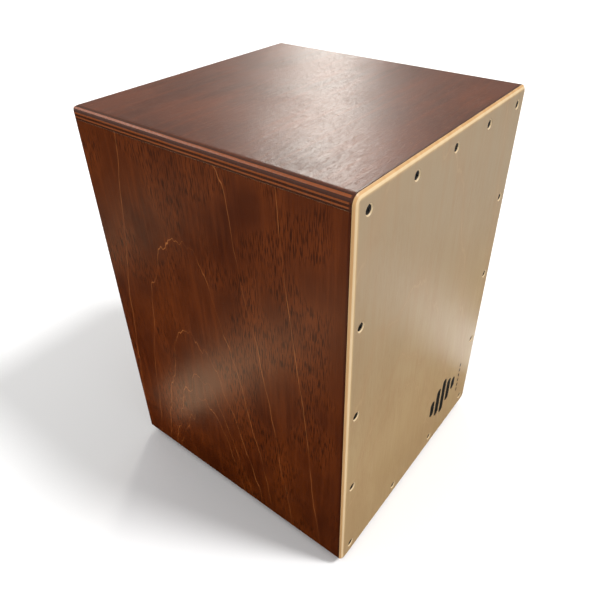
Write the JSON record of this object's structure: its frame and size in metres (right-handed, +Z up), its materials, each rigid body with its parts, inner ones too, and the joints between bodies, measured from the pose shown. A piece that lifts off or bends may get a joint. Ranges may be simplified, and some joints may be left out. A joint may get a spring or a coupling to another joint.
{
  "type": "cajon",
  "caption": "Wooden box drum to sit on, with a thin pale playing face screwed to the front, a round sound hole at the rear, wire snares inside and rubber feet.",
  "frame": {"origin": "on the floor, under the middle of the box", "axes": "+Z up, the playing face looks along -Y, the sound hole opens along +Y, +X to the right seen from the front"},
  "size_m": [0.313, 0.322, 0.457],
  "materials": {
    "stained_ply": "reddish brown stain under satin lacquer, pale ply edges at the round corners",
    "tapa_ply": "clear satin lacquer on pale plywood",
    "raw_pine": "raw planed softwood",
    "black_steel": "black finish on countersunk screws",
    "zinc_steel": "bright zinc plate",
    "snare_steel": "bright drawn steel wire",
    "foot_rubber": "black moulded rubber"
  },
  "bodies": {
    "root": {"top_panel": "stained_ply", "bottom_panel": "stained_ply", "left_side_panel": "stained_ply", "right_side_panel": "stained_ply", "rear_panel": "stained_ply", "tapa": "tapa_ply", "tapa_screws": "black_steel", "front_top_batten": "raw_pine", "front_bottom_batten": "raw_pine", "front_left_batten": "raw_pine", "front_right_batten": "raw_pine", "top_left_corner_strip": "raw_pine", "top_right_corner_strip": "raw_pine", "bottom_left_corner_strip": "raw_pine", "bottom_right_corner_strip": "raw_pine", "snare_rail": "raw_pine", "left_rail_cleat": "raw_pine", "right_rail_cleat": "raw_pine", "rail_screws": "zinc_steel", "left_snare_plate": "snare_steel", "right_snare_plate": "snare_steel", "left_snare_wires": "snare_steel", "right_snare_wires": "snare_steel", "snare_screws": "zinc_steel", "front_left_foot": "foot_rubber", "front_right_foot": "foot_rubber", "rear_left_foot": "foot_rubber", "rear_right_foot": "foot_rubber", "foot_washers": "zinc_steel", "foot_screws": "zinc_steel"}
  },
  "joints": []
}
